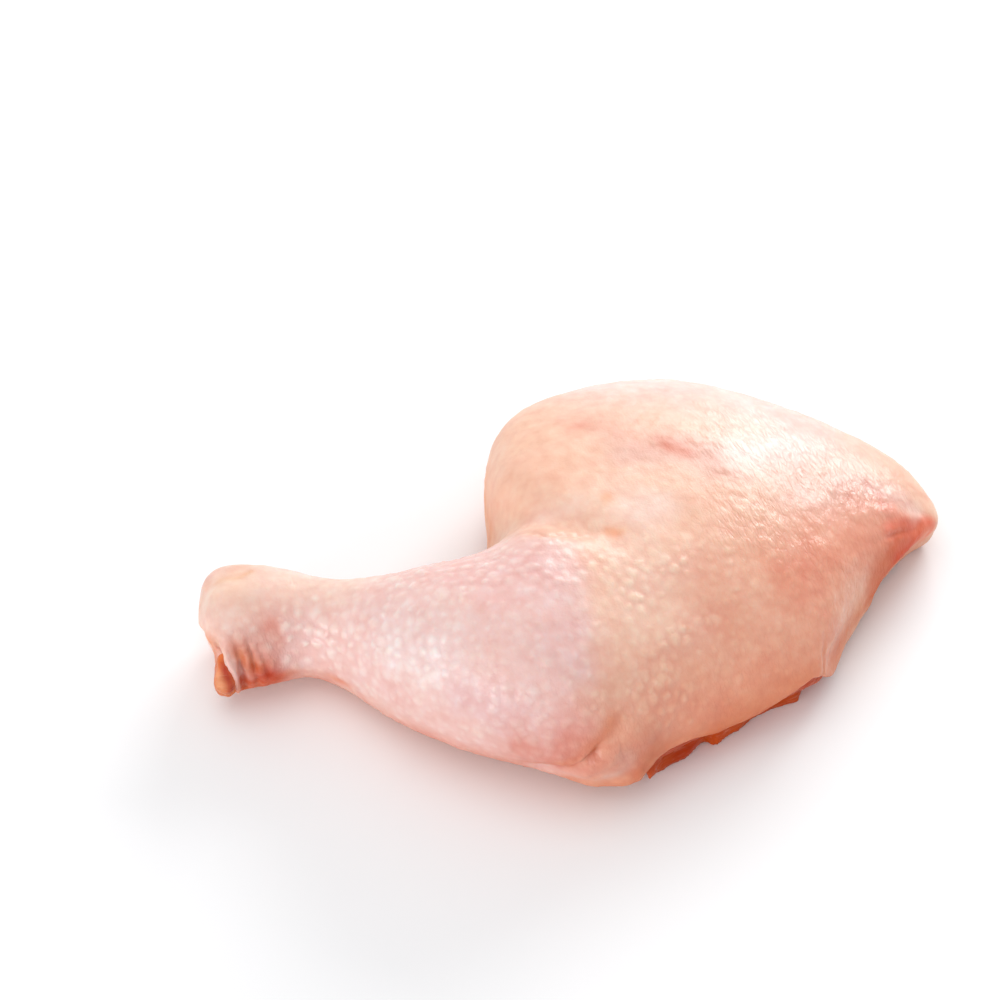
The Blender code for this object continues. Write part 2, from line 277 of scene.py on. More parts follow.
def faded(distance, reach):
    """1 at no distance, and fading softly to nothing over about twice the reach."""
    return np.exp(-((distance / reach) ** 2))


points, normals = places(skin)
# The skin's near edge over the bare meat, in mm: x, how far it is drawn up and in. The pull sets in between
# the first height and the second, with this curve, on the leg's near side only.
NEAR_EDGE = [
    (13, 0, 0), (16, 1.5, 0.5), (20, 6.5, 2.0), (24, 8.5, 2.5), (29, 7.5, 2.5), (33, 5.5, 2.0),
    (38, 4.0, 1.0), (44, 3.5, 1.0), (50, 4.0, 1.0), (55, 5.5, 1.0), (59, 7.5, 1.5), (64, 10.6, 2.0),
    (68, 7.0, 1.2), (72, 0, 0)]
NEAR_EDGE_Z = (20, 5)
NEAR_EDGE_CURVE = 1.5
NEAR_SIDE_Y = -18
at_x, drawn_up, drawn_in = zip(*NEAR_EDGE)
lower = ramp(points[:, 2], *NEAR_EDGE_Z) ** NEAR_EDGE_CURVE * (points[:, 1] < NEAR_SIDE_Y)
points[:, 2] += lower * np.interp(points[:, 0], at_x, drawn_up)
points[:, 1] += lower * np.interp(points[:, 0], at_x, drawn_in)

# How far the low near side of the knee and the drumstick lies back, in mm: x and how far in. The move sets
# in between the first height and the second, and between the first y and the second.
LOW_SIDE = [
    (-34, 0), (-27, 0.8), (-20, 1.6), (-11, 2.5), (-4, 2.4), (2, 1.4), (8, 1.2), (12, 0.3),
    (16, -0.8), (19, -0.5), (22, 0)]
LOW_SIDE_Z = (22, 14)
LOW_SIDE_Y = (-36, -42)
at_x, drawn_in = zip(*LOW_SIDE)
low_side = ramp(points[:, 2], *LOW_SIDE_Z) * ramp(points[:, 1], *LOW_SIDE_Y)
points[:, 1] += low_side * np.interp(points[:, 0], at_x, drawn_in)

# The spur of skin at the thigh's near edge, which is drawn in along x, and the line in plan below the hip's
# point, where the low side is tucked in along x and y, in mm.
SPUR = (73, -27, 14)
SPUR_PULL = 3.6
SPUR_REACH = 8
HIP_TIP = [(90, 6, 0), (94, 10, 0), (100, 18, 0)]
HIP_TIP_TUCK = (-2.6, 2.0)
HIP_TIP_REACH = 9
HIP_TIP_Z = (15, 7)


def hip_formed(points):
    """Draws the spur in, and tucks the low side in below the hip's point."""
    points[:, 0] -= SPUR_PULL * faded(np.linalg.norm(points - SPUR, axis=1), SPUR_REACH)
    from_tip = nearest_on(HIP_TIP, points * (1, 1, 0))[0]
    tucked = ramp(points[:, 2], *HIP_TIP_Z) * faded(from_tip, HIP_TIP_REACH)
    points[:, :2] += tucked[:, None] * HIP_TIP_TUCK


hip_formed(points)

# The ankle's cut end, in mm: the place in plan where its far low side leans in along x, and its top corner.
CUT_END = (-103, -19)
CUT_END_REACH = (6, 9)
CUT_END_Z = (18, 8)
CUT_END_LEAN = 4.0
KNOB_CORNER = [(-101, -9, 29), (-94, -7, 29)]
KNOB_CORNER_REACH = 7
KNOB_CORNER_DROP = 2.6


def ankle_formed(points):
    """Leans the ankle's cut end in at its far low side, and lowers its top corner."""
    beside = (((points[:, :2] - CUT_END) / CUT_END_REACH) ** 2).sum(axis=1)
    points[:, 0] += CUT_END_LEAN * ramp(points[:, 2], *CUT_END_Z) * np.exp(-beside)
    points[:, 2] -= KNOB_CORNER_DROP * faded(nearest_on(KNOB_CORNER, points)[0], KNOB_CORNER_REACH)


ankle_formed(points)

# How far above a crease the skin bulges most, and how wide the bulge is, in half widths of the crease.
BULGE_ABOVE = 2.4
BULGE_WIDTH = 2
for line in CREASES.values():
    distance, above, (depth, width, bulge) = nearest_on(line, points)
    pressed_in = depth * faded(distance, width)
    beside = faded(distance - BULGE_ABOVE * width, BULGE_WIDTH * width)
    swollen = bulge * np.clip(above / width, 0, 1) * beside
    points += normals * (swollen - pressed_in)[:, None]
for line in RIDGES.values():
    distance, above, (height, width) = nearest_on(line, points)
    points += normals * (height * faded(distance, width))[:, None]


def regions(points, ground, patches):
    """The ground's numbers over the points, and near each patch the patch's own.

    A patch is a line of places, how far it reaches from them in mm, how strong it is, and its numbers.
    """
    result = np.array(ground, float) * np.ones((len(points), 1))
    for line, reach, strength, value in patches.values():
        share = strength * faded(nearest_on(line, points)[0], reach)
        result += (np.array(value, float) - result) * share[:, None]
    return result


SEED_STEP = 17.3


def lumps(points, size, seed, turn=0):
    """Smooth uneven numbers from about -1 to 1 over the points, in lumps of a size in mm, turned round z."""
    turned = np.array(Matrix.Rotation(math.radians(-turn), 3, "Z"))
    scaled = points @ turned.T / np.array(size, float) + SEED_STEP * seed
    return np.array([noise.noise(place) for place in scaled.tolist()])


# How strongly the skin is wrinkled: most over the thigh towards the hip, hardly on the fat lobe.
WRINKLED = {
    "thigh to hip": ([(48, 38, 36), (70, 25, 32), (82, 23, 28)], 15, 1, [1.0]),
    "below the hip": ([(50, 0, 38), (72, -10, 28), (68, -28, 16)], 15, 0.9, [0.9]),
    "near side": ([(20, -45, 30), (55, -35, 20)], 13, 0.7, [0.4]),
    "ankle": ([(-92, -25, 22), (-86, -28, 18)], 9, 0.9, [0.8]),
    "knee": ([(2, -65, 24), (10, -63, 26)], 8, 0.7, [0.6]),
    "fat lobe": ([(-18, 20, 36), (-6, 30, 42)], 17, 0.9, [0.06]),
    "knob": ([(-96, -5, 28), (-94, -16, 30)], 8, 0.8, [0.1]),
}
WRINKLED_ELSEWHERE = [0.15]
WRINKLE_TURN = -66
WRINKLE_DEPTH = 0.15
wrinkled = regions(points, WRINKLED_ELSEWHERE, WRINKLED)[:, 0]

# How far the skin swells and sinks, in mm: in wide lumps, in smaller ones, in pebbles, which are higher
# where it is wrinkled, and in the soft lumps by the knee.
WIDE_LUMPS = 0.40
SMALL_LUMPS = 0.30
KNEE_LUMPS = 0.9
KNEE = [(-2, -66, 16), (6, -66, 18), (12, -63, 24)]
KNEE_REACH = 8
pebbles = 0.08 + 0.16 * np.clip(wrinkled, 0.1, 0.6)
by_knee = faded(nearest_on(KNEE, points)[0], KNEE_REACH)
uneven = WIDE_LUMPS * lumps(points, 19, seed=1) + SMALL_LUMPS * lumps(points, 9, seed=2)
uneven += pebbles * lumps(points, 3.6, seed=3)
uneven += KNEE_LUMPS * by_knee * lumps(points, (6, 6, 5), seed=16)
long_wrinkles = 0.5 - np.abs(lumps(points, (9, 2.5, 6), 4, WRINKLE_TURN + 8))
short_wrinkles = 0.5 - np.abs(lumps(points, (6, 2.0, 5), 8, WRINKLE_TURN - 10))
points += normals * (uneven + WRINKLE_DEPTH * wrinkled * (long_wrinkles + short_wrinkles))[:, None]

# Goose bumps, one round each feather's hole: how high they stand in mm.
GOOSE_BUMPS = {
    "neck of the drumstick": ([(-84, -26, 24), (-66, -27, 24)], 10, 1, [0.65]),
    "calf": ([(-45, -35, 30), (-20, -45, 30), (0, -54, 28)], 17, 0.95, [0.50]),
    "top of the drumstick": ([(-38, -20, 42), (-14, -18, 48)], 14, 0.95, [0.52]),
    "middle of the thigh": ([(18, -30, 41), (30, -18, 42), (22, -46, 33)], 15, 0.9, [0.38]),
    "right of the thigh": ([(55, -25, 30), (50, 15, 38)], 15, 0.8, [0.24]),
    "hip": ([(75, 25, 28), (92, 20, 21), (98, 19, 17)], 13, 0.9, [0.13]),
    "fat lobe": ([(-18, 20, 36), (-6, 30, 42)], 18, 1, [0.02]),
    "knob": ([(-97, -5, 27), (-94, -17, 30)], 8, 1, [0.03]),
}
BUMPS_ELSEWHERE = [0.12]
# How far apart the bumps stand and how wide they are, in mm, and how much these and their heights vary.
BUMP_SPACING = 4.0
BUMP_RADIUS = 2.1
SPACING_RANGE = (0.65, 1.0)
HEIGHT_RANGE = (0.5, 1.2)
RADIUS_RANGE = (0.6, 1.1)
NEXT_CELLS = [(i, j, k) for i in (-1, 0, 1) for j in (-1, 0, 1) for k in (-1, 0, 1)]
draw = random.Random(4)
order = list(range(len(points)))
draw.shuffle(order)
spread = {}
follicles = kdtree.KDTree(len(points))
own_shape = []
for index in order:
    place = points[index]
    cell = tuple(math.floor(value / BUMP_SPACING) for value in place)
    apart = BUMP_SPACING * draw.uniform(*SPACING_RANGE)
    beside = [spread.get((cell[0] + i, cell[1] + j, cell[2] + k)) for i, j, k in NEXT_CELLS]
    if all(other is None or math.dist(place, other) > apart for other in beside):
        spread[cell] = place
        follicles.insert(place, len(own_shape))
        own_shape.append((draw.uniform(*HEIGHT_RANGE), BUMP_RADIUS * draw.uniform(*RADIUS_RANGE)))
follicles.balance()

# The bumps are stirred out of round by up to so many mm, and fall off from their tops with this curve.
STIR = 0.9
BUMP_CURVE = 1.5
stirred = points + STIR * np.stack([lumps(points, 3, seed) for seed in (13, 14, 15)], axis=1)
swell = np.zeros(len(points))
for index, place in enumerate(stirred):
    own, distance = follicles.find(place)[1:]
    height, radius = own_shape[own]
    swell[index] = height * max(0, 1 - (distance / radius) ** 2) ** BUMP_CURVE
# They stand higher in some clusters than in others, most of all on the thigh, which sets in between these x.
THIGH_X = (0, 8)
on_thigh = ramp(points[:, 0], *THIGH_X)
clustered = np.clip(0.85 + (0.4 + 0.6 * on_thigh) * lumps(points, 12, seed=9), 0.3, 1.1)
bump_height = clustered * regions(points, BUMPS_ELSEWHERE, GOOSE_BUMPS)[:, 0]
points += normals * (bump_height * swell)[:, None]
# The skin's lowest points lie just above the flesh's, so that the two never lie in one plane.
SKIN_LOWEST = 0.05
points[:, 2] = np.maximum(points[:, 2], SKIN_LOWEST)
moved(skin, points)

# How much the gloss adds to a colour that is seen, and how strongly the light shows it.
GLOSS = 0.025
LIGHT = 1.08


def seen_as(red, green, blue):
    """The base colour of skin that is seen as a screen colour: made linear, less the gloss, for the light."""
    return [((value / 255) ** 2.2 - GLOSS) / LIGHT for value in (red, green, blue)]


# The screen colours of plain skin, on the thigh, on the drumstick, and a warmer painted shade where it faces
# down.
THIGH_SKIN = (249, 203, 176)
DRUMSTICK_SKIN = (247, 212, 203)
SHADED_UNDERSIDE_SKIN = (226, 124, 78)
# Where the drumstick's pinker skin ends and the thigh's begins, in plan, in mm.
DRUMSTICK_OUTLINE = [
    (-115, 20), (-40, 12), (-24, 0), (-14, -8), (-5, -12), (0, -12), (1, -22), (2, -38), (1.5, -54),
    (-4, -64), (-8, -80), (-115, -80)]


def beyond(outline, points):
    """How far outside an outline in plan each point lies, in mm, and inside it as a negative number."""
    distance = np.full(len(points), np.inf)
    inside = np.zeros(len(points), bool)
    for near, far in zip(outline, outline[1:] + outline[:1]):
        start = np.array(near, float)
        along = np.array(far, float) - start
        away = points[:, :2] - start
        share = np.clip(away @ along / (along @ along), 0, 1)[:, None]
        distance = np.minimum(distance, np.linalg.norm(away - share * along, axis=1))
        if along[1] != 0:
            passes = (near[1] > points[:, 1]) != (far[1] > points[:, 1])
            inside ^= passes & (away[:, 0] < away[:, 1] * along[0] / along[1])
    return np.where(inside, -distance, distance)


# The colours over the skin: a line of places and how far the colour reaches from it, in mm, how strong it is,
# and the screen colour.
SKIN_COLOURS = {
    # Pale calf skin, partly a painted highlight.
    "calf": ([(-48, -38, 37), (-36, -44, 38)], 10, 0.7, (248, 233, 229)),
    "drumstick, top right": ([(-10, -25, 48), (-5, -45, 44)], 12, 0.7, (243, 201, 195)),
    "drumstick, near side": (
        [(-40, -48, 12), (-20, -62, 14), (-6, -66, 18), (-1, -63, 32)], 8, 0.8, (244, 196, 187)),
    "drumstick, lower middle": ([(-30, -54, 34), (-16, -58, 35)], 7, 0.6, (230, 188, 188)),
    "drumstick, by the knee": ([(-14, -63, 24), (-6, -64, 23), (-5, -64, 28)], 8, 0.8, (220, 134, 116)),
    "neck, top": ([(-78, -12, 30), (-62, -10, 33)], 9, 0.9, (250, 220, 201)),
    "fat lobe": ([(-20, 22, 36), (-4, 16, 44), (4, 30, 44)], 22, 0.9, (249, 202, 176)),
    "lobe, by the drumstick": ([(-14, 0, 43), (-2, 2, 46)], 5, 0.8, (251, 212, 194)),
    "back": ([(10, 60, 30), (45, 58, 28), (66, 45, 26)], 16, 0.9, (248, 224, 214)),
    "thigh, middle": ([(12, 5, 46), (16, -30, 44), (22, -20, 42)], 12, 0.9, (253, 216, 193)),
    "thigh, above the middle": ([(16, 0, 45), (22, 3, 44)], 6, 0.6, (252, 232, 218)),
    "thigh, darker middle": ([(33, -22, 40), (42, -30, 34)], 8, 0.5, (234, 160, 134)),
    # A painted sheen: the thigh is made paler and whiter where the back window's highlight falls.
    "thigh, painted sheen": ([(46, 26, 39), (58, 32, 35)], 8, 0.6, (250, 238, 234)),
    "thigh, right": ([(62, 16, 34), (70, 14, 31), (78, 24, 29)], 10, 0.6, (238, 204, 192)),
    # Partly the skin's own tan, partly painted shade where the thigh's near side turns down from the light.
    "thigh, near side, tan and painted shade": (
        [(14, -58, 20), (30, -52, 22), (52, -40, 22), (66, -28, 20)], 15, 0.9, (248, 173, 143)),
    # Partly the skin's own rust colour, partly painted shade low on the thigh's near side.
    "thigh, lower, rust and painted shade": ([(15, -62, 14), (28, -56, 13), (50, -42, 13), (62, -35, 13)], 7.5, 0.9, (232, 138, 98)),
    "skin's near edge": (
        [(18, -59, 8), (30, -53, 11), (48, -43, 9), (60, -36, 10), (66, -32, 9)], 3, 0.9, (216, 104, 52)),
    "below the hip": ([(60, -12, 32), (76, 2, 28), (84, 9, 22)], 14, 0.9, (244, 168, 140)),
    "hip, cut side": ([(73, -22, 12), (80, -8, 12), (87, 3, 12)], 6, 0.8, (226, 128, 84)),
    "hip": ([(88, 13, 22), (93, 15.5, 19.5), (101, 20, 15.5)], 3.4, 0.85, (250, 130, 104)),
    "above the hip": ([(84, 25, 27), (90, 23.5, 24), (96, 22, 20)], 4.2, 0.75, (252, 218, 204)),
    "line above the hip": ([(82, 27, 27), (85, 22.5, 26.2)], 1.2, 0.5, (240, 160, 144)),
    "hip, above the cut": (
        [(81.4, -2.8, 17.5), (84.4, 2.6, 19.5), (87.6, 7, 19.5), (91, 12.5, 18.5)], 3.5, 0.8, (224, 120, 84)),
    "hip, beside the cut": ([(83, -2, 12), (86, 2, 13.5), (89, 6, 14.5)], 4.5, 0.85, (214, 98, 54)),
    "hip, below the tip": ([(91, 8.5, 15), (94, 12, 15), (97, 16, 14.5)], 4.4, 0.95, (226, 76, 34)),
    "hip, lowest": ([(84, -2, 6), (92, 7, 6), (99, 15, 7)], 4, 0.8, (222, 112, 66)),
    "tip of the hip": ([(97, 18, 16), (103, 22, 12), (101, 20, 8)], 3, 0.9, (255, 140, 108)),
    "red spot by the hip": ([(85.5, 19, 26), (87.5, 18.5, 25)], 2.6, 0.6, (242, 150, 128)),
    "knob": ([(-92, 0, 26), (-96, -14, 28)], 11, 0.9, (249, 212, 187)),
    "knob's left side": ([(-103, -9, 24), (-103, -20, 18), (-100, -28, 24)], 3.5, 0.8, (247, 198, 172)),
    "knob's hollow": ([(-94, -19, 29), (-88, -20, 29.5)], 4.5, 0.7, (240, 194, 176)),
    "beside the knob": ([(-84.4, -24.4, 26.5), (-81.5, -28, 22.5)], 2.6, 0.8, (234, 164, 146)),
    "neck, below": ([(-78, -28, 18), (-66, -29, 18)], 5, 0.8, (255, 222, 212)),
    "neck, underneath": ([(-82, -31, 12), (-72, -31, 12), (-62, -33, 12)], 2.4, 0.75, (236, 150, 118)),
    # Painted shade in the folds beside the ankle's tongue.
    "painted shade in the ankle folds": ([(-90.5, -31, 23), (-87, -32.5, 18)], 4.4, 0.9, (216, 114, 64)),
    # Painted shade on the skin beside the ankle's tissue.
    "painted shade on the skin by the tissue": ([(-100.5, -27, 23), (-99.5, -29.5, 16)], 2.2, 0.8, (226, 128, 78)),
    # Painted shade in the pocket under the ankle, beside the tongue.
    "ankle, painted shade underneath": ([(-91.5, -32, 11), (-88.5, -32, 11), (-85, -32.5, 13)], 4.6, 0.95, (200, 66, 20)),
    "ankle, lowest": ([(-92, -30, 5), (-87, -30, 6), (-83, -31, 9)], 3.5, 0.9, (208, 74, 34)),
    "tongue": ([place[:3] for place in RIDGES["tongue"]], 1.1, 0.9, (251, 214, 192)),
    "reddish patch": ([(4, 36, 40), (18, 29, 41.5), (34, 30, 39.7)], 5, 0.35, (234, 172, 156)),
    "mauve streak": ([(14, 23, 43), (26, 25, 42), (36, 22, 41)], 7, 0.6, (228, 180, 166)),
    "blotch": ([(24.7, 29, 41.5), (31, 25.1, 41.2)], 3.0, 0.9, (222, 138, 114)),
    "orange spot": ([(8.4, -6.2, 45.2), (9.4, -6.8, 45)], 2.2, 0.8, (252, 172, 130)),
    "small orange spot": ([(7.3, 4.6, 45.6), (8, 4.4, 45.6)], 1.6, 0.6, (249, 176, 132)),
    "lobe's left side": ([(-27, 14, 18), (-27, 30, 18)], 8, 0.8, (249, 176, 132)),
    "smudges on the lobe": ([(-2, 34, 40), (2, 36, 40)], 2.5, 0.5, (238, 160, 140)),
    # Painted shade on the knee's low side, which gets less light.
    "knee, painted shade": ([(4, -67, 21), (12, -64, 21), (20, -60, 23)], 6, 0.7, (224, 148, 124)),
    "knee's lumps": ([(8, -66, 17), (11, -65, 20)], 3, 0.55, (232, 194, 178)),
    "knee, by the bare meat": ([(17, -63, 15), (20, -59, 17)], 3.5, 0.7, (214, 126, 92)),
    # Painted shade in the crease behind the knee.
    "painted shade in the crease behind the knee": ([(-9, -63, 16), (1, -64.6, 22), (4, -65.1, 25)], 1.3, 0.85, (204, 104, 60)),
    # Painted shade on the underside of the bulge above that crease.
    "painted shade above the crease": ([(-4, -65, 22), (4, -65, 28), (8, -62, 32)], 3.0, 0.7, (226, 130, 92)),
    "brown marks": ([(18.5, -37.6, 40.6), (18.8, -37.7, 40.5)], 0.9, 0.7, (222, 126, 80)),
    "rim of the knob": (
        [(-98.9, -9.6, 27.3), (-93.9, -9.4, 28.4), (-88.9, -7, 28)], 1.4, 0.6, (238, 176, 132)),
}
# The colours' edges waver by so many mm, and the drumstick's own edge is this soft.
WOBBLE = 2.0
DRUMSTICK_SOFTNESS = 1.3
wobble = np.stack([lumps(points, 9, seed) for seed in (5, 6, 7)], axis=1)
shown_at = points + WOBBLE * wobble
on_drumstick = 1 / (1 + np.exp(beyond(DRUMSTICK_OUTLINE, shown_at) / DRUMSTICK_SOFTNESS))
ground = np.array(seen_as(*THIGH_SKIN)) * np.ones((len(points), 1))
ground += (np.array(seen_as(*DRUMSTICK_SKIN)) - ground) * on_drumstick[:, None]
patches = {name: (*patch, seen_as(*shown)) for name, (*patch, shown) in SKIN_COLOURS.items()}
colours = regions(shown_at, ground, patches)
# Painted shade: skin that faces down, below this height, is made darker and warmer.
SHADED_UNDERSIDE_Z = (26, 16)
SHADED_UNDERSIDE_SHARE = 0.6
shaded_underside = ramp(normals[:, 2], 0, -0.5) * ramp(points[:, 2], *SHADED_UNDERSIDE_Z)
colours += (np.array(seen_as(*SHADED_UNDERSIDE_SKIN)) - colours) * SHADED_UNDERSIDE_SHARE * shaded_underside[:, None]
colours = np.maximum(colours, 0)


def painted(piece, name, kind, values):
    """Keeps a colour or a number at each of the piece's points, for its material."""
    layer = piece.data.attributes.new(name, kind, "POINT")
    if kind == "FLOAT_COLOR":
        layer.data.foreach_set("color", np.hstack([values, np.ones((len(values), 1))]).ravel())
    else:
        layer.data.foreach_set("value", values)


painted(skin, "tint", "FLOAT_COLOR", colours)
painted(skin, "bumps", "FLOAT", swell)
painted(skin, "pitted", "FLOAT", ramp(bump_height, 0, 0.5))
painted(skin, "wrinkled", "FLOAT", wrinkled)
# The wet film has run off the steep low sides, most of all below the hip and under the ankle.
DRY_LINES = [
    [(80, -8, 14), (86, 2, 14), (93, 10, 14), (98, 16, 13)],
    [(-91, -32, 12), (-87, -32, 14), (-82, -32, 13)],
]
DRY_REACH = 6
DRYNESS = 0.85
wet_film = ramp(normals[:, 2], -0.25, 0.35)
for line in DRY_LINES:
    wet_film *= 1 - DRYNESS * faded(nearest_on(line, points)[0], DRY_REACH)
painted(skin, "wet", "FLOAT", wet_film)


def new_look(name):
    """A material with nodes. What is joined next goes into it."""
    made = bpy.data.materials.new(name)
    made.use_nodes = True
    return made, made.node_tree.nodes, made.node_tree.links, made.node_tree.nodes["Principled BSDF"]


skin_look, nodes, links, shader = new_look("raw skin")


def put(socket, value):
    """Joins a socket to another, or gives it a number or a colour."""
    if isinstance(value, bpy.types.NodeSocket):
        links.new(value, socket)
    elif isinstance(value, (list, tuple)) and len(value) == 3 and socket.type == "RGBA":
        socket.default_value = (*value, 1)
    else:
        socket.default_value = value


def node(kind, **settings):
    """A new node with its settings and what goes into it."""
    made = nodes.new(kind)
    for setting, value in settings.items():
        if setting in made.inputs:
            put(made.inputs[setting], value)
        else:
            setattr(made, setting, value)
    return made


def kept(name, output="Fac"):
    """The numbers or colours that the mesh keeps at its points under this name."""
    return node("ShaderNodeAttribute", attribute_name=name).outputs[output]


def drawn_out(size, turn=0):
    """Places for a pattern whose lumps have a size in mm along, across and up, turned round z."""
    spot = node("ShaderNodeTexCoord").outputs["Object"]
    mapping = node("ShaderNodeMapping", vector_type="TEXTURE", Vector=spot)
    put(mapping.inputs["Rotation"], (0, 0, math.radians(turn)))
    put(mapping.inputs["Scale"], [value * MM for value in size])
    return mapping.outputs["Vector"]


def clouds(size, turn=0, **settings):
    """Noise from 0 to 1 in lumps of a size in mm along, across and up, turned round z."""
    return node("ShaderNodeTexNoise", Vector=drawn_out(size, turn), Scale=1, **settings).outputs["Fac"]


def mixed(blend, share, first, second):
    """A mix of two colours."""
    mix = node("ShaderNodeMix", data_type="RGBA", blend_type=blend)
    put(mix.inputs[0], share)
    put(mix.inputs[6], first)
    put(mix.inputs[7], second)
    return mix.outputs[2]


def ranged(value, low, high, to_low, to_high):
    """A number moved from one range to another, and kept inside it."""
    settings = {"Value": value, "From Min": low, "From Max": high, "To Min": to_low, "To Max": to_high}
    return node("ShaderNodeMapRange", **settings).outputs["Result"]


def both(operation, first, second):
    """A sum, product or other result of two numbers."""
    step = node("ShaderNodeMath", operation=operation)
    put(step.inputs[0], first)
    put(step.inputs[1], second)
    return step.outputs[0]


tint = kept("tint", "Color")
bumps = kept("bumps")
pitted = kept("pitted")
creased = kept("wrinkled")
wet = kept("wet")
wide = clouds((18, 18, 18), Detail=2)
mottle = clouds((11, 11, 11), Detail=3)
strands = clouds((22, 6, 10), 15, Detail=3)
blotches = clouds((4, 4, 4), Detail=2)
grain = clouds((0.6, 0.6, 0.6), Detail=2)
fine_folds = clouds((5, 1.5, 3), WRINKLE_TURN, Detail=3, Distortion=1.0)
cell_places = drawn_out((3.4, 1.5, 2.4), WRINKLE_TURN)
cells = node("ShaderNodeTexVoronoi", Vector=cell_places, Scale=1, feature="DISTANCE_TO_EDGE")
raised = ranged(cells.outputs["Distance"], 0.0, 0.25, 0, 1)
# Painted shade: the skin is darker in the grooves between the wrinkles' raised cells.
painted_groove_shade = both("MULTIPLY", both("SUBTRACT", 1, raised), creased)
patchy = both("ADD", both("MULTIPLY", creased, 0.6), 0.4)
between = both("MULTIPLY", pitted, both("SUBTRACT", 1, bumps))
on_top = both("MULTIPLY", ranged(bumps, 0.1, 0.9, 0, 1), pitted)
# What lies over the skin's own colours: how strongly, and the shade that they are multiplied by there.
LAYERS = {
    "mottled skin": (both("MULTIPLY", ranged(mottle, 0.42, 0.72, 0, 0.6), patchy), (0.92, 0.74, 0.69)),
    "wide pinker parts": (ranged(wide, 0.45, 0.7, 0, 0.4), (0.98, 0.86, 0.88)),
    "strands": (ranged(strands, 0.52, 0.72, 0, 0.3), (0.93, 0.78, 0.78)),
    # Painted shade in the wrinkles' grooves.
    "painted_groove_shade": (both("MULTIPLY", painted_groove_shade, 0.35), (0.88, 0.70, 0.66)),
    "darker blotches": (ranged(blotches, 0.5, 0.3, 0, 0.4), (0.90, 0.76, 0.74)),
    "fat under the skin": (ranged(blotches, 0.52, 0.75, 0, 0.8), (1.02, 1.12, 1.16)),
    "between the bumps": (both("MULTIPLY", between, 0.8), (0.95, 0.80, 0.81)),
    "tops of the bumps": (on_top, (1.03, 1.13, 1.13)),
}
colour = tint
for share, shade in LAYERS.values():
    colour = mixed("MULTIPLY", share, colour, shade)
put(shader.inputs["Base Color"], colour)
dull = both("SUBTRACT", 0.5, both("MULTIPLY", creased, 0.15))
put(shader.inputs["Roughness"], both("ADD", dull, both("MULTIPLY", mottle, 0.1)))
put(shader.inputs["Specular IOR Level"], 0.25)
height = both("MULTIPLY", both("ADD", fine_folds, both("MULTIPLY", raised, 0.25)), creased)
height = both("ADD", height, both("MULTIPLY", grain, 0.2))
relief = node("ShaderNodeBump", Strength=1, Distance=0.3 * MM, Height=height).outputs["Normal"]
put(shader.inputs["Normal"], relief)
put(shader.inputs["Coat Normal"], relief)
put(shader.inputs["Subsurface Weight"], 0.3)
put(shader.inputs["Subsurface Radius"], (1.0, 0.45, 0.3))
put(shader.inputs["Subsurface Scale"], 1.2 * MM)
glossy = both("MAXIMUM", creased, both("MULTIPLY", pitted, 0.8))
put(shader.inputs["Coat Weight"], both("MULTIPLY", ranged(glossy, 0, 0.8, 0.08, 0.6), wet))
put(shader.inputs["Coat Roughness"], 0.2)
skin.data.materials.append(skin_look)
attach(skin, "root")
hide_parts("skin")

# ---- Flesh
# The thigh's bare meat, which shows below the skin's near edge and underneath, and the knob of
# tissue at the cut ankle. It is wet, dark orange red, and ragged where it was cut.
FLESH_CELL = 1.0 * MM
flesh = merged_copy("flesh", "bare_flesh")
made_even(flesh, FLESH_CELL, rounds=3)
points, normals = places(flesh)
# How far the cut meat's foot is drawn in along the near edge, and how far to the right, in mm: x and how far.
# Both moves set in between the first height and the second, and between the first y and the second.
FOOT = [
    (12, 0), (14, -4.0), (16, -6.0), (18, -4.2), (20.5, -3.0), (23, -0.2), (26, 1.4), (31, 1.6),
    (35, 2.2), (38, 0.4), (44, 0), (48, 1.4), (54, 1.8), (58, 2.6), (60, 3.4), (62, 3.0), (64.5, 0),
    (67, -1.0), (71, 0)]
FOOT_RIGHT = [(50, 0), (58, 2.5), (62, 1.5), (66, 0.8), (70, 0)]
FOOT_Z = (9, 6)
FOOT_Y = (-16, -25)
foot = ramp(points[:, 2], *FOOT_Z) * ramp(points[:, 1], *FOOT_Y)
at_x, drawn_in = zip(*FOOT)
points[:, 1] += foot * np.interp(points[:, 0], at_x, drawn_in)
at_x, drawn_right = zip(*FOOT_RIGHT)
points[:, 0] += foot * np.interp(points[:, 0], at_x, drawn_right)
hip_formed(points)

# The foot at the thigh's back is drawn in too, to lie inside the skin's rim.
BACK_FOOT_Z = (10, 6)
BACK_FOOT_Y = (34, 44)
BACK_FOOT_IN = 7
points[:, 1] -= BACK_FOOT_IN * (ramp(points[:, 2], *BACK_FOOT_Z) * ramp(points[:, 1], *BACK_FOOT_Y))

# The left side of the ankle's tissue is drawn in along x, so that the skin of the cut end covers it.
TISSUE_SIDE = [(-101, -27, 22), (-100, -29, 15)]
TISSUE_REACH = 5
TISSUE_PULL = 2.2
points[:, 0] += TISSUE_PULL * faded(nearest_on(TISSUE_SIDE, points)[0], TISSUE_REACH)
ankle_formed(points)

# How ragged the meat is, in mm: along its fibres, in lumps, and most of all at the ankle, which sets in
# between these x.
FIBRE_TURN = 20
FIBRE_HEIGHT = 0.25
LUMP_HEIGHT = 0.25
ANKLE_HEIGHT = 0.7
ANKLE_X = (-85, -90)
fibres = lumps(points, (12, 2.2, 2.2), 11, FIBRE_TURN)
ragged = FIBRE_HEIGHT * fibres + LUMP_HEIGHT * lumps(points, 5, seed=12)
ragged += ANKLE_HEIGHT * ramp(points[:, 0], *ANKLE_X) * lumps(points, (2.6, 2.6, 6), seed=17)
points += normals * ragged[:, None]
FLESH_LOWEST = 0.01
points[:, 2] = np.maximum(points[:, 2], FLESH_LOWEST)
moved(flesh, points)

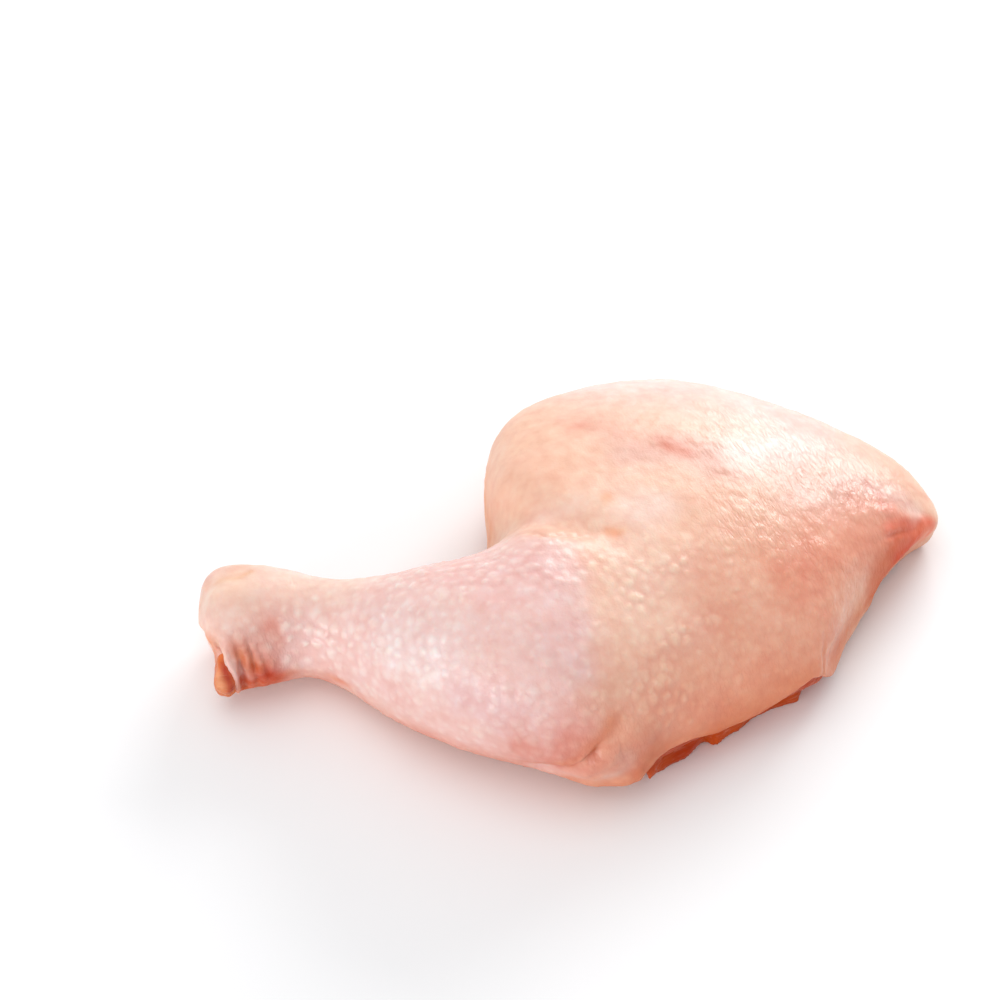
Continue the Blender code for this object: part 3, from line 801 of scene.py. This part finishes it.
# The meat's colours: a line of places and how far the colour reaches from it, in mm, how strong it is, and
# the base colour.
MEAT = (0.52, 0.08, 0.03)
MEAT_COLOURS = {
    "near edge": ([(16, -57, 3), (30, -48, 4), (45, -41, 3), (66, -26, 3)], 6, 0.95, (0.56, 0.085, 0.012)),
    "near edge, darkest": ([(27, -51, 4), (32, -48, 4)], 3, 0.8, (0.46, 0.035, 0.0)),
    "foot's tab": ([(36, -46, 3), (41, -44, 3)], 3, 0.8, (0.62, 0.09, 0.01)),
    "ankle tissue": ([(-98, -30, 20), (-96, -31, 10)], 12, 1, (0.78, 0.22, 0.07)),
    "ankle tissue's sides": (
        [(-100.5, -31, 20), (-100, -32, 12), (-97, -33, 6)], 2.4, 0.8, (0.60, 0.12, 0.03)),
    "ankle tissue's middle": ([(-98, -34.5, 17), (-97.5, -35.8, 13)], 1.8, 0.85, (0.93, 0.47, 0.26)),
    # Painted shade in the crease of the ankle's tissue.
    "painted shade in the ankle tissue's crease": (
        [(-96.4, -33.6, 21), (-94.9, -35.4, 14), (-94.2, -35.2, 10)], 1.5, 0.95, (0.45, 0.05, 0.03)),
    "ankle tissue's knuckle": ([(-96.5, -33, 13), (-97, -32, 10)], 2.2, 0.7, (0.86, 0.42, 0.20)),
}
painted(flesh, "tint", "FLOAT_COLOR", regions(points, MEAT, MEAT_COLOURS))
flesh_look, nodes, links, shader = new_look("raw flesh")
fibre_lines = clouds((14, 1.1, 1.1), FIBRE_TURN, Detail=4)
bundles = clouds((30, 5, 5), FIBRE_TURN, Detail=3)
colour = mixed("MULTIPLY", ranged(bundles, 0.4, 0.7, 0, 0.7), kept("tint", "Color"), (0.80, 0.58, 0.5))
colour = mixed("MIX", ranged(fibre_lines, 0.6, 0.85, 0, 0.35), colour, (0.85, 0.50, 0.38))
put(shader.inputs["Base Color"], colour)
put(shader.inputs["Roughness"], ranged(bundles, 0.3, 0.7, 0.22, 0.4))
height = both("ADD", fibre_lines, both("MULTIPLY", bundles, 0.6))
relief = node("ShaderNodeBump", Strength=0.8, Distance=0.5 * MM, Height=height).outputs["Normal"]
put(shader.inputs["Normal"], relief)
put(shader.inputs["Subsurface Weight"], 0.2)
put(shader.inputs["Subsurface Radius"], (1.0, 0.25, 0.12))
put(shader.inputs["Subsurface Scale"], 1.0 * MM)
put(shader.inputs["Specular IOR Level"], 0.06)
put(shader.inputs["Coat Weight"], 0.05)
put(shader.inputs["Coat Roughness"], 0.12)
flesh.data.materials.append(flesh_look)
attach(flesh, "root")
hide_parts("flesh")

# ---- Shank bone
# The bone through the drumstick. Only its knuckle shows, in the cut ankle: two condyles under
# smooth, pale cartilage, with threads of tendon left on it.
BONE_CELL = 0.6 * MM
KNUCKLE_PULL = 3.0
KNUCKLE_LUMPS = 0.12
bone = merged_copy("shank_bone", "shank_bone_end")
made_even(bone, BONE_CELL, rounds=4)
points, normals = places(bone)
points[:, 0] += KNUCKLE_PULL * faded(nearest_on(TISSUE_SIDE, points)[0], TISSUE_REACH)
ankle_formed(points)
points += normals * (KNUCKLE_LUMPS * lumps(points, 3, seed=21))[:, None]
moved(bone, points)
bone_look, nodes, links, shader = new_look("cartilage")
flushed = clouds((4, 4, 4), Detail=3)
threads = clouds((1, 7, 7), Detail=3)
colour = mixed("MIX", ranged(flushed, 0.35, 0.7, 0, 1), (0.78, 0.72, 0.66), (0.80, 0.56, 0.46))
colour = mixed("MIX", ranged(threads, 0.6, 0.8, 0, 0.5), colour, (0.86, 0.82, 0.78))
put(shader.inputs["Base Color"], colour)
put(shader.inputs["Roughness"], ranged(flushed, 0.3, 0.7, 0.24, 0.4))
relief = node("ShaderNodeBump", Strength=0.5, Distance=0.3 * MM, Height=threads).outputs["Normal"]
put(shader.inputs["Normal"], relief)
put(shader.inputs["Subsurface Weight"], 0.2)
put(shader.inputs["Subsurface Scale"], 0.8 * MM)
put(shader.inputs["Coat Weight"], 0.4)
put(shader.inputs["Coat Roughness"], 0.15)
bone.data.materials.append(bone_look)
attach(bone, "root")
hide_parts("shank_bone")
